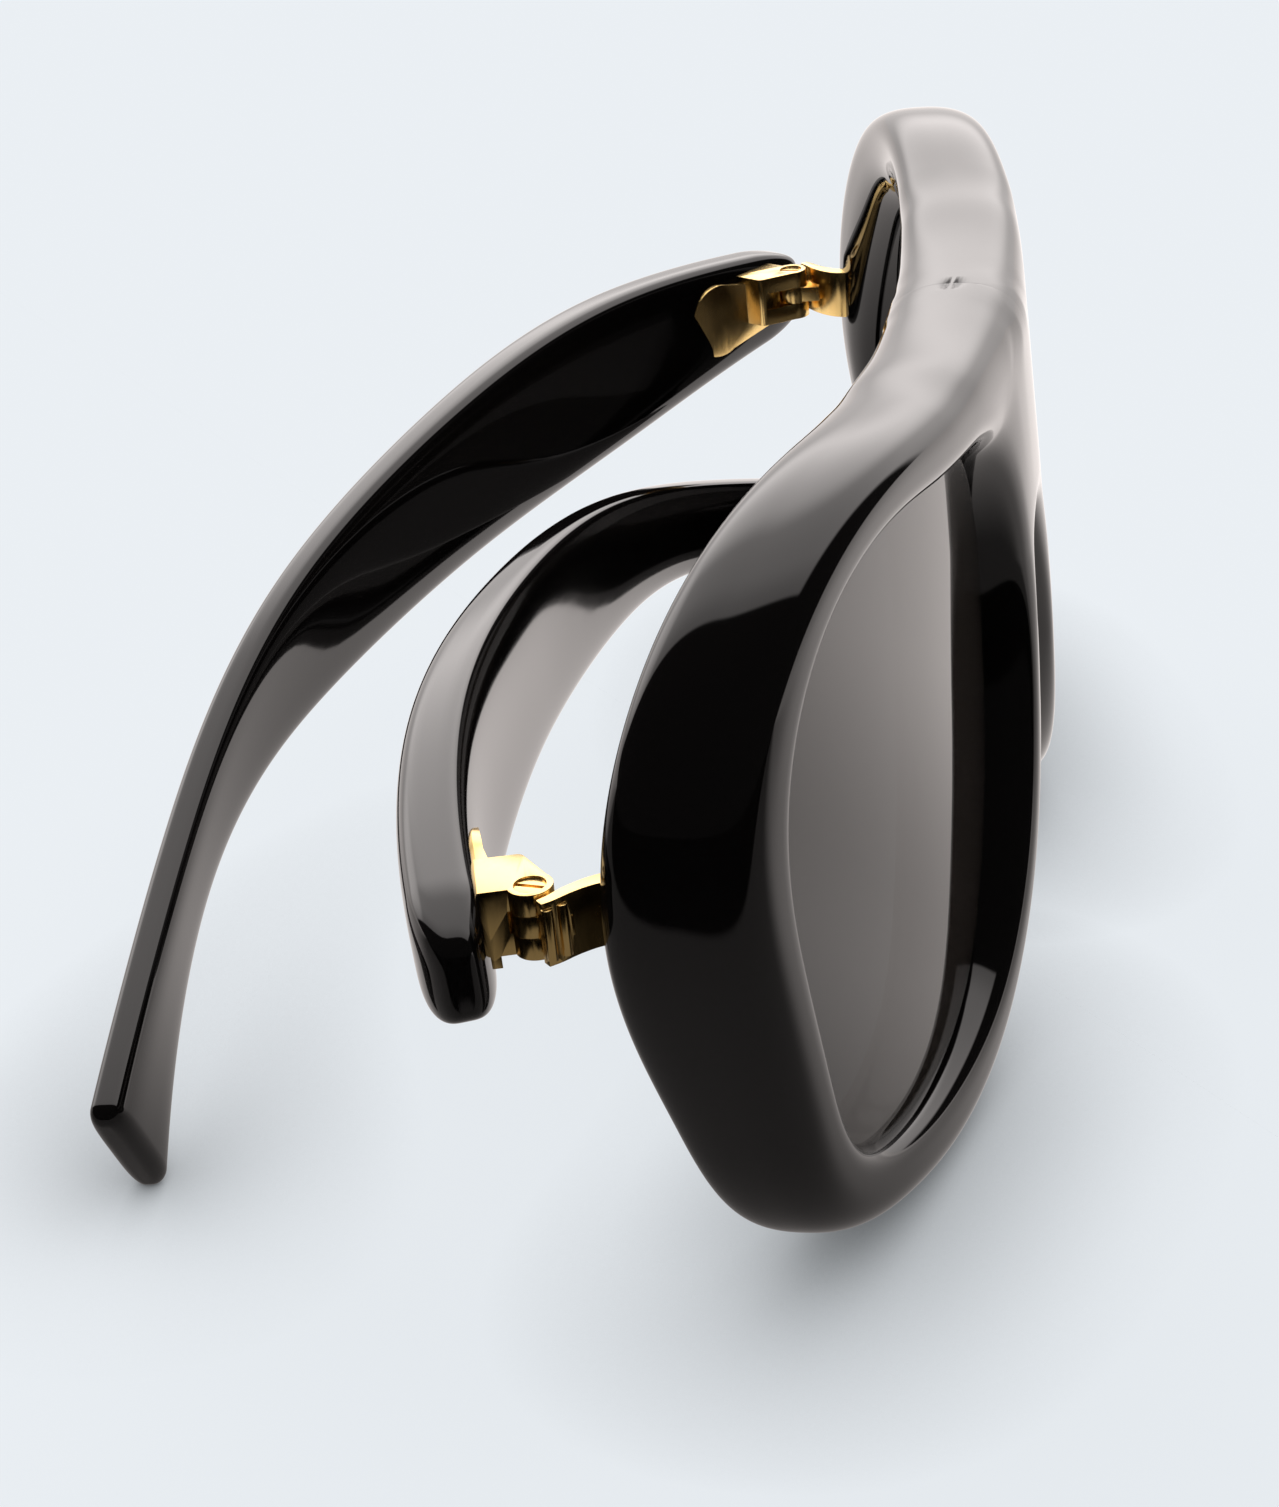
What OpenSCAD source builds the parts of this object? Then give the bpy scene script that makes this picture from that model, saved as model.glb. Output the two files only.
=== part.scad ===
// Sunglasses with a thick, softly swollen front, two deeply set curved lenses
// and two bowed temples on three-barrel metal hinges. They stand on the lower
// rims, with the right temple folded in and the left one folded most of the way.
// +X is the wearer's left, -Y is the front and +Z is up. The origin is the
// middle of the underside of the nose bridge.

/* [Front] */
// Mean radius of a lens opening
opening_r = 25; // [24:0.5:26]
// Distance from the middle to each lens centre
lens_x = 33; // [32.5:0.5:35]
// Mean width of the rim, seen from the front
rim_w = 6; // [5.5:0.1:6.5]
// Mean half depth of the rim, from its middle to its front or back face
rim_half_depth = 5.2; // [5:0.1:5.8]
// Radius of the front's wrap around the face
wrap_r = 171; // [150:1:250]
// Height of the bridge's upper edge above the lens centres
bridge_top = 27; // [24:0.5:28]
// Height of the bridge's lower edge above the lens centres
bridge_low = 7; // [5:0.5:8]
// Backward lean of the front as it stands, in degrees
lean = 6.34; // [5:0.1:8]

/* [Lenses] */
// Thickness of a lens
lens_t = 2; // [1.6:0.1:2.4]
// Depth of the groove that holds a lens
groove_d = 0.9; // [0.6:0.1:1]
// Distance of the lens behind the middle of the rim, below zero where it lies ahead
lens_back = -1; // [-1.2:0.1:1.2]

/* [Temples] */
// Length of a temple along its curve
temple_len = 135; // [125:1:145]
// Mean height of a temple
temple_h = 11.5; // [10.5:0.5:12.5]
// Mean thickness of a temple
temple_t = 4.2; // [4:0.1:4.8]
// Diameter of the core wire inside a temple
wire_d = 1.2; // [1:0.1:1.3]

/* [Hinges] */
// Distance of a hinge pin inside the mean outer edge of the rim
hinge_inset = 0.9; // [0.6:0.1:1.1]
// Distance of a hinge pin behind the middle of the rim there
hinge_back = 11.458; // [11.3:0.1:11.7]
// Height of the hinge's middle above the lens centres
hinge_z = 6.1; // [5.5:0.1:6.6]
// Height of the whole hinge
hinge_h = 4.9; // [4.6:0.1:5.4]
// Diameter of a hinge barrel
barrel_d = 3.1; // [2.9:0.1:3.3]
// Diameter of the hinge screw's shank
pin_d = 1.2; // [1:0.1:1.3]
// Diameter of the hinge screw's head
head_d = 2.1; // [1.9:0.1:2.2]
// Thickness of the arm where it enters the front
arm_t = 1.4; // [1.2:0.1:1.5]

/* [Pose] */
// How far the right temple is folded from fully open, in degrees
right_fold = 84.66; // [60:0.5:84.66]
// How far the left temple is folded from fully open, in degrees
left_fold = 65.04; // [40:0.5:72]

/* [Hidden] */
$fn = 48;
RIGHT = -1;
LEFT = 1;

// Colours
gloss_black = [0.05, 0.045, 0.045];
gold = [0.83, 0.68, 0.38];
smoke = [0.42, 0.39, 0.37, 0.6];
steel = [0.7, 0.7, 0.72];

// Clearances
running = 0.05;   // radial, between the screw and the middle barrel
snug = 0.04;      // between an inlaid piece and its pocket
side_gap = 0.06;  // between neighbouring barrels
over = 0.5;       // overrun of a cut

// Opening radius, rim width and rim depth around a lens, as shares of their
// means, from the outer side up and over to the nose and back underneath
opening_shares = [1.04, 1.14, 1.16, 1.02, 0.9, 0.92, 1.02, 1, 0.92, 0.9, 0.93, 0.98, 0.99, 1.03, 1.08, 1.02];
width_shares = [1.1, 1.16, 0.98, 0.95, 1, 1.15, 1.45, 0.9, 0.71, 0.81, 0.93, 1.05, 1.11, 1.02, 1.06, 1.05];
back_shares = [1.27, 1.16, 0.98, 0.88, 0.9, 0.98, 1.06, 1.1, 1.08, 1.06, 1.04, 0.98, 0.94, 0.9, 0.92, 1.08];
front_shares = [0.95, 0.94, 0.94, 0.96, 0.98, 1, 1.04, 1.13, 1.19, 1.19, 1.13, 0.98, 0.85, 0.79, 0.79, 0.88];

// The rim's section: how square the outer and inner halves are, as powers
outer_power = 0.8;
inner_power = 0.6;
edge_share = 0.06;
edge_power = 2 / outer_power;
stations = 72;
// Steps round the rim to the start of the bridge's upper edge, then along it to
// the middle plane, down that plane, and out along the lower edge
bridge_steps = [24, 3, 6, 6];
bridge_from = bridge_steps[0];
bridge_in = bridge_from + bridge_steps[1];
bridge_out = bridge_in + bridge_steps[2];
bridge_to = bridge_out + bridge_steps[3];
top_round = 4.5;      // length over which the bridge's upper edge is rounded
low_round = 2.6;      // length over which its lower edge is rounded
foot_d = 0.15;

// Steps around a section, in degrees: outer back, inner back
outer_steps = [0, 20, 42, 66, 90];
inner_steps = [114, 136, 158];

// Temple tables, from the hinge end to the ear end. The bow, drop and twist
// are angles, and the rest are shares of the mean height and thickness.
bow_angles = [-7, 6, 13, 21, 33, 39];
drop_angles = [-1, -2.5, -6, -10, -21, -30];
twist_angles = [1, 3.5, 2, 1, -7, 2];
height_shares = [0.68, 1.27, 1.25, 1, 0.74, 1.07];
thick_shares = [1.2, 1.32, 1.1, 0.86, 0.72, 0.78];
temple_steps = 40;
temple_power = 0.5;
temple_out = 2.52;    // from the hinge pin out to the temple's inner face
temple_ahead = 5.3;   // from the hinge pin forward to the temple's end
temple_fall = 1.2;    // from the hinge's middle down to the temple's middle line
end_round = 6;        // length over which the hinge end is rounded
tip_round = 1.4;      // length over which the ear end is rounded
blunt_share = 0.25;   // size of a temple's end faces
end_shares = [0, 0.03, 0.12, 0.28, 0.5, 0.75, 1];
tip_shares = [0.6, 0.25, 0];
splay = 9;            // the temple's turn outward when fully open, in degrees

// Hinge leaves
standoff = 5.4;       // from the pin forward to where the arm goes straight
entry_in = 1.15;      // from the pin inward to the middle of the arm's root
root_len = 3.7;       // straight root of the arm, mostly sunk in the front
root_h = 4.7;         // height of the arm
tip_t = 0.7;          // thickness of the arm's tip
tooth_len = 1;        // anchor tooth at the root's end
tooth_out = 0.35;
rib_r = 0.38;         // two round stop ribs on the arm's outer face
rib_end = 0.45;       // from a rib's end to the arm's edge
rib_steps = [1, 4];
web_w = 2.2;          // web between the middle barrel and the arm
web_step = 7;
// The arm's middle line from its tip beside the barrel to its root, as shares
// of the standoff outward and forward from the pin
arm_shares = [[0.41, -0.195], [0.287, -0.324], [0.111, -0.472], [-0.065, -0.667], [-0.176, -0.852]];
block_out = 4;        // from the pin out to the block's back, sunk in the temple
block_front = 0.4;    // from the pin forward to the block's front edge
block_rear = 4.3;     // from the pin back to the block's rear edge
block_in = 0.2;       // from the pin out to the block's rear corner
plate_out = 3.9;      // from the pin out to the plate's sunk side
plate_t = 1.4;
plate_r = 3.7;        // round rear end of the plate
plate_to = 11.5;      // from the pin back to the plate's rear end
plate_h = 4.3;        // height of the plate beside the barrels
corner_r = 0.6;
notch_gap = 0.2;
tongue_from = 1;
tongue_to = 8;
tongue_h = 2.2;
tongue_deep = 3;
wire_from = 13.3;     // along the temple, where the core wire starts
wire_short = 23;       // how far before the ear end it stops
wire_to = temple_len - wire_short;
wire_steps = 34;
wire_gap = 0.05;
wire_lead = 1;

// Hinge screw
head_t = 0.5;
head_sink = 0.15;
slot_w = 0.35;
slot_d = 0.25;
slot_turn = 25;

// Nose pads
pad_from = 37;
pad_to = 47;
pad_steps = 10;
pad_t = 1;
pad_edge = 0.15;
pad_gap = 0.03;
pad_sides = 8;
pad_first = 12;
pad_last = 78;
pad_power = 0.6;

// One span of a smooth curve through four values, at the fraction f
function span(a, b, c, d, f) =
    b + f / 2 * (c - a + f * (2 * a - 5 * b + 4 * c - d + f * (3 * (b - c) + d - a)));
// A closed table read at u from 0 to 1
function around(v, u) =
    let (n = len(v), t = u * n, i = floor(t))
    span(v[(i + n - 1) % n], v[i % n], v[(i + 1) % n], v[(i + 2) % n], t - i);
// An open table read at u from 0 to 1
function along(v, u) =
    let (n = len(v), t = u * (n - 1), i = min(floor(t), n - 2),
         a = i > 0 ? v[i - 1] : 2 * v[0] - v[1],
         d = i < n - 2 ? v[i + 2] : 2 * v[n - 1] - v[n - 2])
    span(a, v[i], v[i + 1], d, t - i);
function unit(v) = v / norm(v);
function power(x, p) = sign(x) * pow(abs(x), p);

// The front: every station joins a point on the lens opening to one on the
// outline, both as [distance from the middle, height]
function wrap(x) = x * x / (2 * wrap_r);
function turn(i) = 360 * i / stations;
function opening_at(i) = opening_r * around(opening_shares, i / stations);
function width_at(i) = rim_w * around(width_shares, i / stations);
function depth_at(i, side) =
    rim_half_depth * around(side > 0 ? back_shares : front_shares, i / stations);
function polar(i, r) = [lens_x + r * cos(turn(i)), r * sin(turn(i))];
function opening_pt(i) = polar(i, opening_at(i));
function rim_pt(i) = polar(i, opening_at(i) + width_at(i));
bridge_mid = (bridge_top + bridge_low) / 2;
bridge_half = (bridge_top - bridge_low) / 2;
function outline_pt(i) =
    i <= bridge_from || i >= bridge_to ? rim_pt(i) :
    i < bridge_in ?
        let (s = (bridge_in - i) / (bridge_in - bridge_from), q = rim_pt(bridge_from))
        [q[0] * s, bridge_top + top_rise(s, q)] :
    i <= bridge_out ?
        [0, bridge_mid + bridge_half * cos(180 * (i - bridge_in) / (bridge_out - bridge_in))] :
        let (s = (i - bridge_out) / (bridge_to - bridge_out), q = rim_pt(bridge_to))
        [q[0] * s, bridge_low + (q[1] - bridge_low) * s * s];
// Rise of the bridge's upper edge over its middle, at the share s of the way to
// q, where it runs on in the line of the rim
top_step = 0.02;
function top_slope(q) =
    let (p = rim_pt(bridge_from - top_step)) (q[1] - p[1]) / (q[0] - p[0]);
function top_bend(q) = top_slope(q) * q[0] / 2 - (q[1] - bridge_top);
function top_rise(s, q) = s * s * (q[1] - bridge_top + top_bend(q) * (s * s - 1));
function merged(i) = i >= bridge_in && i <= bridge_out;
// How near a point of the bridge lies to its upper and lower edges, and what
// share of the depth the rounding of those edges leaves there
top_q = rim_pt(bridge_from);
low_q = rim_pt(bridge_to);
top_curve = top_bend(top_q);
function above(p, q, z, bend) =
    let (s = p[0] / q[0]) p[1] - z - s * s * (q[1] - z + bend * (s * s - 1));
function steep(p, q, z, bend) =
    let (s = p[0] / q[0]) norm([1, 2 * s * (q[1] - z + bend * (2 * s * s - 1)) / q[0]]);
function left_by(v) = v >= 1 ? 1 : pow(1 - pow(1 - max(v, 0), edge_power), 1 / edge_power);
function bridge_share(p) =
    left_by(-above(p, top_q, bridge_top, top_curve) / steep(p, top_q, bridge_top, top_curve) / top_round)
    * left_by(above(p, low_q, bridge_low, 0) / steep(p, low_q, bridge_low, 0) / low_round);
function eased(f) = f * f * (3 - 2 * f);
function bridged(i) =
    i <= bridge_from || i >= bridge_to ? 0 :
    i < bridge_in ? eased((i - bridge_from) / (bridge_in - bridge_from)) :
    i <= bridge_out ? 1 : eased((bridge_to - i) / (bridge_to - bridge_out));

// One section, as [share of the way from the opening to the outline, depth]
function outer_side(i, t, side) =
    let (n = edge_power, a = power(cos(t), outer_power), w = bridged(i), q = (1 + a) / 2,
         round_share = pow(1 - pow(a, n) + pow(edge_share * a, n), 1 / n),
         flat_share = w > 0
             ? max(edge_share, bridge_share(opening_pt(i) + (outline_pt(i) - opening_pt(i)) * q)) : 0)
    [q, side * depth_at(i, side) * ((1 - w) * round_share + w * flat_share)];
function inner_side(i, t, side) =
    [(1 + power(cos(t), inner_power)) / 2, side * depth_at(i, side) * power(sin(t), inner_power)];
function wall_share(i, y) =
    let (n = 2 / inner_power) (1 - pow(1 - pow(abs(y) / depth_at(i, y), n), 1 / n)) / 2;
groove_half = lens_t / 2 + snug;
function groove_pts(i, wide) =
    let (b = lens_back + groove_half, f = lens_back - groove_half)
    [[wall_share(i, b), b], [groove_d / wide, b], [groove_d / wide, f], [wall_share(i, f), f]];
function section(i) =
    let (wide = norm(outline_pt(i) - opening_pt(i)))
    concat(
        [for (t = outer_steps) outer_side(i, t, 1)],
        [for (t = inner_steps) inner_side(i, t, 1)],
        groove_pts(i, wide),
        [for (k = [len(inner_steps) - 1:-1:0]) inner_side(i, inner_steps[k], -1)],
        [for (k = [len(outer_steps) - 1:-1:0]) outer_side(i, outer_steps[k], -1)]);
sides = 2 * len(outer_steps) + 2 * len(inner_steps) + 4;
function front_pt(i, q) =
    let (p = opening_pt(i) + (outline_pt(i) - opening_pt(i)) * q[0])
    [p[0], wrap(p[0]) + q[1], p[1]];
front_half = [for (i = [0:stations - 1]) let (s = section(i)) for (q = s) front_pt(i, q)];
// Points on the middle plane are shared by both halves
function at_middle(i, j) = merged(i) && (j == 0 || j == sides - 1);
function front_id(half, i, j) =
    let (k = (i % stations) * sides + (j % sides))
    half == 1 && at_middle(i % stations, j % sides) ? stations * sides + k : half == 0 ? k + stations * sides : k;
function lean_height(p) = p[2] * cos(lean) - p[1] * sin(lean);
foot_z = min([for (p = front_half) lean_height(p)]) + foot_d;
foot_half = 3;

// Four corners of a mesh cell as two triangles
function cell(a, b, c, d) = [[a, b, c], [a, c, d]];

// The curved axis of a temple as it points straight back when open: the inner
// face's middle line, with the directions along, outward and up at each step
function bow(u) = along(bow_angles, u);
function drop(u) = along(drop_angles, u);
function ahead(u) =
    [-sin(bow(u)) * cos(drop(u)), cos(bow(u)) * cos(drop(u)), sin(drop(u))];
function level_out(u) = [cos(bow(u)), sin(bow(u)), 0];
function twisted_out(u) =
    let (t = along(twist_angles, u), n = level_out(u), w = cross(n, ahead(u)))
    n * cos(t) - w * sin(t);
function twisted_up(u) =
    let (t = along(twist_angles, u), n = level_out(u), w = cross(n, ahead(u)))
    w * cos(t) + n * sin(t);
function walk(k, p, out) =
    k > temple_steps ? out :
    let (u = k / temple_steps, v = (k - 1) / temple_steps,
         q = p + (ahead(u) + ahead(v)) * temple_len / temple_steps / 2)
    walk(k + 1, q, concat(out, [q]));
temple_start = [temple_out, -temple_ahead, -temple_fall];
spine = walk(1, temple_start, [temple_start]);
function spine_at(s) =
    let (t = s / temple_len * temple_steps, i = min(floor(t), temple_steps - 1), f = t - i)
    spine[i] * (1 - f) + spine[i + 1] * f;
function temple_high(u) = temple_h * along(height_shares, u);
function temple_thick(u) = temple_t * along(thick_shares, u);
// Rounding of an end: how much of the section is left at a distance from it
function rounded(d, r) = d >= r ? 1 : 1 - (1 - blunt_share) * (1 - sqrt(1 - pow(1 - d / r, 2)));
function end_share(s) = rounded(s, end_round) * rounded(temple_len - s, tip_round);
temple_at = concat(end_shares * end_round,
    [for (k = [3:temple_steps - 1]) k * temple_len / temple_steps],
    [for (w = tip_shares) temple_len - w * tip_round]);
temple_sides = 16;
function temple_ring(s) =
    let (u = s / temple_len, e = end_share(s), h = temple_high(u) / 2, t = temple_thick(u) / 2,
         m = spine_at(s) + twisted_out(u) * t)
    [for (j = [0:temple_sides - 1])
        let (a = 360 * j / temple_sides)
        m + twisted_out(u) * t * e * power(cos(a), temple_power)
          + twisted_up(u) * (h - (1 - e) * t) * power(sin(a), temple_power)];
wire_sides = 8;
function wire_ring(s, r) =
    let (u = s / temple_len, m = spine_at(s) + twisted_out(u) * temple_thick(u) / 2)
    [for (j = [0:wire_sides - 1])
        m + (twisted_out(u) * cos(360 * j / wire_sides) + twisted_up(u) * sin(360 * j / wire_sides)) * r];

// A closed skin over rings of the same number of points
module skin(rings) {
    n = len(rings[0]);
    m = len(rings);
    polyhedron(
        points = [for (r = rings) for (p = r) p],
        faces = concat(
            [for (i = [0:m - 2]) for (j = [0:n - 1])
                for (f = cell(i * n + j, i * n + (j + 1) % n, (i + 1) * n + (j + 1) % n, (i + 1) * n + j)) f],
            [for (j = [1:n - 2]) [0, j + 1, j]],
            [for (j = [1:n - 2]) let (b = (m - 1) * n) [b, b + j, b + j + 1]]));
}

// From the front's own upright frame to how it stands
module stand() {
    rotate([-lean, 0, 0])
        translate([0, 0, -bridge_low])
            children();
}
module sided(side) {
    if (side < 0)
        mirror([1, 0, 0])
            children();
    else
        children();
}
// The hinge pin's own frame: the pin along Z, outward along X, back along Y
module at_hinge(side) {
    stand()
        sided(side)
            translate([hinge_x, hinge_y, hinge_z])
                children();
}
module folded(side, fold) {
    at_hinge(side)
        rotate([0, 0, fold - splay])
            children();
}

module front_shell() {
    polyhedron(
        points = concat([for (p = front_half) [-p[0], p[1], p[2]]], front_half),
        faces = [for (half = [0, 1]) for (i = [0:stations - 1]) for (j = [0:sides - 1])
            if (!(j == sides - 1 && merged(i) && merged(i + 1)))
                for (f = half == 0
                    ? cell(front_id(0, i, j), front_id(0, i, j + 1), front_id(0, i + 1, j + 1), front_id(0, i + 1, j))
                    : cell(front_id(1, i, j), front_id(1, i + 1, j), front_id(1, i + 1, j + 1), front_id(1, i, j + 1)))
                    f]);
}

// The pins keep their place behind the rims' outer edges
hinge_x = lens_x + opening_r + rim_w - hinge_inset;
hinge_y = wrap(hinge_x) + hinge_back;

// The arm's middle line, its direction and its thickness grow from tip to root
arm_points = concat([for (q = arm_shares) q * standoff], [[-entry_in, -standoff]]);
arm_steps = 15;
function arm_mid(k) =
    let (u = k / arm_steps)
    [along([for (q = arm_points) q[0]], u), along([for (q = arm_points) q[1]], u)];
function arm_side(k) =
    let (d = unit(arm_mid(min(k + 1, arm_steps)) - arm_mid(max(k - 1, 0))))
    k == arm_steps ? [1, 0] : [-d[1], d[0]];
function arm_half(k) = (tip_t + (arm_t - tip_t) * k / arm_steps) / 2;
// The arm's plan with its straight root and anchor tooth, grown by a gap
module arm_plan(gap) {
    foot = -standoff - root_len;
    wide = arm_t / 2 + gap;
    polygon(concat(
        [for (k = [0:arm_steps]) arm_mid(k) + arm_side(k) * (arm_half(k) + gap)],
        [[wide - entry_in, foot + tooth_len + gap]],
        [[wide + tooth_out - entry_in, foot + tooth_len + gap]],
        [[wide + tooth_out - entry_in, foot - gap]],
        [[-wide - tooth_out - entry_in, foot - gap]],
        [[-wide - tooth_out - entry_in, foot + tooth_len + gap]],
        [[-wide - entry_in, foot + tooth_len + gap]],
        [for (k = [arm_steps:-1:0]) arm_mid(k) - arm_side(k) * (arm_half(k) + gap)]));
}
// The arm itself, or the pocket that the front has for it, with a clearance
module arm(gap) {
    translate([0, 0, -root_h / 2 - gap])
        linear_extrude(root_h + 2 * gap)
            arm_plan(gap);
}

module front_frame() {
    color(gloss_black)
        difference() {
            stand()
                difference() {
                    front_shell();
                    for (side = [RIGHT, LEFT])
                        sided(side)
                            translate([hinge_x, hinge_y, hinge_z])
                                arm(snug);
                }
            for (side = [RIGHT, LEFT])
                translate([side * lens_x, 0, foot_z - bridge_low * cos(lean) - rim_w])
                    cube([opening_r, opening_r, 2 * rim_w], center = true);
        }
}

// A lens: rings from its centre to its edge, on two parallel wrapped faces
lens_rings = 5;
lens_gap = 0.08;
function lens_edge(i) = opening_at(i) + groove_d - lens_gap;
function lens_pt(i, f, y) =
    let (p = polar(i, lens_edge(i) * f))
    [p[0], wrap(p[0]) + lens_back + y, p[1]];
lens_stations = 48;
function lens_layer(y, f) =
    [for (k = [0:lens_stations - 1]) lens_pt(k * stations / lens_stations, f, y)];
module lens(side) {
    color(smoke)
        stand()
            sided(side)
                skin(concat(
                    [for (k = [1:lens_rings]) lens_layer(-lens_t / 2, k / lens_rings)],
                    [for (k = [lens_rings:-1:1]) lens_layer(lens_t / 2, k / lens_rings)]));
}

// A pad hugs the rim where it rests beside the nose
function pad_pt(i, t, out) =
    let (n = 2 / outer_power, d = outline_pt(i) - opening_pt(i), a = power(cos(t), outer_power),
         q = outer_side(i, t, 1), p = opening_pt(i) + d * q[0], w = unit(d))
    [p[0] + w[0] * out * cos(t), wrap(p[0]) + q[1] + out * sin(t), p[1] + w[1] * out * cos(t)];
function pad_turn(j) = pad_first + (pad_last - pad_first) * j / pad_sides;
function pad_lift(k, j) =
    pad_edge + (pad_t - pad_edge) * pow(sin(180 * k / pad_steps) * sin(180 * j / pad_sides), pad_power);
module nose_pad(side) {
    color(gloss_black)
        stand()
            sided(side)
                skin([for (k = [0:pad_steps])
                    let (i = pad_from + (pad_to - pad_from) * k / pad_steps)
                    concat(
                        [for (j = [0:pad_sides]) pad_pt(i, pad_turn(j), pad_gap + pad_lift(k, j))],
                        [for (j = [pad_sides:-1:0]) pad_pt(i, pad_turn(j), pad_gap)])]);
}

barrel_h = (hinge_h - 2 * side_gap) / 3;
bore_r = pin_d / 2 + running;
module barrel(z) {
    translate([0, 0, z])
        cylinder(h = barrel_h, d = barrel_d, center = true);
}
module frame_leaf(side) {
    color(gold)
        at_hinge(side)
            difference() {
                union() {
                    arm(0);
                    for (k = rib_steps)
                        translate(concat(arm_mid(k) + arm_side(k) * arm_half(k), [0]))
                            cylinder(h = root_h - 2 * rib_end, r = rib_r, center = true);
                    barrel(0);
                    translate([-web_w / 2, arm_mid(web_step)[1], side_gap - barrel_h / 2])
                        cube([web_w, -arm_mid(web_step)[1] - side_gap, barrel_h - 2 * side_gap]);
                }
                cylinder(h = hinge_h, r = bore_r, center = true);
            }
}

// The block's plan: a rounded rear corner and all between it, the barrel and
// the face let into the temple
corner_pt = [block_in + corner_r, block_rear - corner_r];
corner_turn = atan2(corner_pt[1], corner_pt[0]) + acos((barrel_d / 2 - corner_r) / norm(corner_pt));
corner_steps = 5;
module block_plan() {
    polygon(concat(
        [[cos(corner_turn), sin(corner_turn)] * pin_d / 2],
        [[0, -block_front]],
        [[block_out, -block_front]],
        [[block_out, block_rear]],
        [for (k = [0:corner_steps])
            let (t = 90 + (corner_turn - 90) * k / corner_steps)
            corner_pt + [cos(t), sin(t)] * corner_r],
        [[cos(corner_turn), sin(corner_turn)] * (barrel_d / 2 - side_gap)]));
}
// The long plate behind the block, let into the temple's inner face
module plate(gap) {
    translate([plate_out - plate_t - gap, 0, -temple_fall]) {
        translate([0, plate_to - plate_r, 0])
            rotate([0, 90, 0])
                cylinder(h = plate_t + 2 * gap, r = plate_r + gap);
        rotate([90, 0, 90])
            linear_extrude(plate_t + 2 * gap)
                polygon([
                    [-block_front - gap, -plate_h / 2 - gap],
                    [plate_to - plate_r, -plate_r - gap + side_gap],
                    [plate_to - plate_r, plate_r + gap - side_gap],
                    [-block_front - gap, plate_h / 2 + gap]
                ]);
    }
}
module block_seat(gap) {
    translate([0, -block_front - gap, -hinge_h / 2 - gap])
        cube([block_out + gap, block_front + block_rear + 2 * gap, hinge_h + 2 * gap]);
}
module tongue(gap) {
    translate([block_out - over, tongue_from - gap, -temple_fall - tongue_h / 2 - gap])
        cube([over + tongue_deep + gap, tongue_to - tongue_from + 2 * gap, tongue_h + 2 * gap]);
}
// The core wire, or its channel, which runs on into the tongue's pocket
module wire(gap, lead) {
    skin([for (k = [0:wire_steps])
        wire_ring(wire_from - lead + (wire_to - wire_from + lead + gap) * k / wire_steps, wire_d / 2 + gap)]);
}
module temple_leaf(side, fold) {
    color(gold)
        folded(side, fold)
            difference() {
                union() {
                    translate([0, 0, -hinge_h / 2])
                        linear_extrude(hinge_h)
                            block_plan();
                    translate([0, 0, -hinge_h / 2])
                        cylinder(h = hinge_h, d = barrel_d);
                    plate(0);
                    tongue(0);
                }
                cylinder(h = barrel_h + side_gap, r = barrel_d / 2 + notch_gap, center = true);
                translate([-barrel_d, -barrel_d, -barrel_h / 2 - side_gap])
                    cube([barrel_d + block_in, 2 * barrel_d + block_rear, barrel_h + 2 * side_gap]);
                translate([0, 0, -hinge_h / 2 - over])
                    cylinder(h = hinge_h + 2 * over, r = bore_r);
                translate([0, 0, hinge_h / 2 - head_sink - head_t])
                    cylinder(h = head_sink + head_t + over, d = head_d + 2 * running);
            }
}
module hinge_screw(side, fold) {
    top = hinge_h / 2 - head_sink;
    color(gold)
        folded(side, fold)
            difference() {
                union() {
                    translate([0, 0, -hinge_h / 2 + head_sink])
                        cylinder(h = top + hinge_h / 2 - head_sink - head_t / 2, d = pin_d);
                    translate([0, 0, top - head_t + side_gap])
                        cylinder(h = head_t - side_gap, d = head_d);
                }
                rotate([0, 0, slot_turn])
                    translate([-head_d, -slot_w / 2, top - slot_d])
                        cube([2 * head_d, slot_w, slot_d + over]);
            }
}

module temple(side, fold) {
    color(gloss_black)
        folded(side, fold)
            difference() {
                skin([for (s = temple_at) temple_ring(s)]);
                block_seat(snug);
                plate(snug);
                tongue(snug);
                wire(wire_gap, wire_lead);
            }
}
module core_wire(side, fold) {
    color(steel)
        folded(side, fold)
            wire(0, 0);
}

front_frame();
lens(RIGHT);  // lens_right
lens(LEFT);  // lens_left
nose_pad(RIGHT);  // nose_pad_right
nose_pad(LEFT);  // nose_pad_left
frame_leaf(RIGHT);  // frame_leaf_right
frame_leaf(LEFT);  // frame_leaf_left
temple_leaf(RIGHT, right_fold);  // temple_leaf_right
temple_leaf(LEFT, left_fold);  // temple_leaf_left
hinge_screw(RIGHT, right_fold);  // hinge_screw_right
hinge_screw(LEFT, left_fold);  // hinge_screw_left
temple(RIGHT, right_fold);  // temple_right
temple(LEFT, left_fold);  // temple_left
core_wire(RIGHT, right_fold);  // core_wire_right
core_wire(LEFT, left_fold);  // core_wire_left
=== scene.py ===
"""Black sunglasses with a thick swollen front, deep-set smoke lenses and gold
hinges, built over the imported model's frame. Lengths are in metres. +X is the
wearer's left, -Y is the front and +Z is up."""

import math

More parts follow.
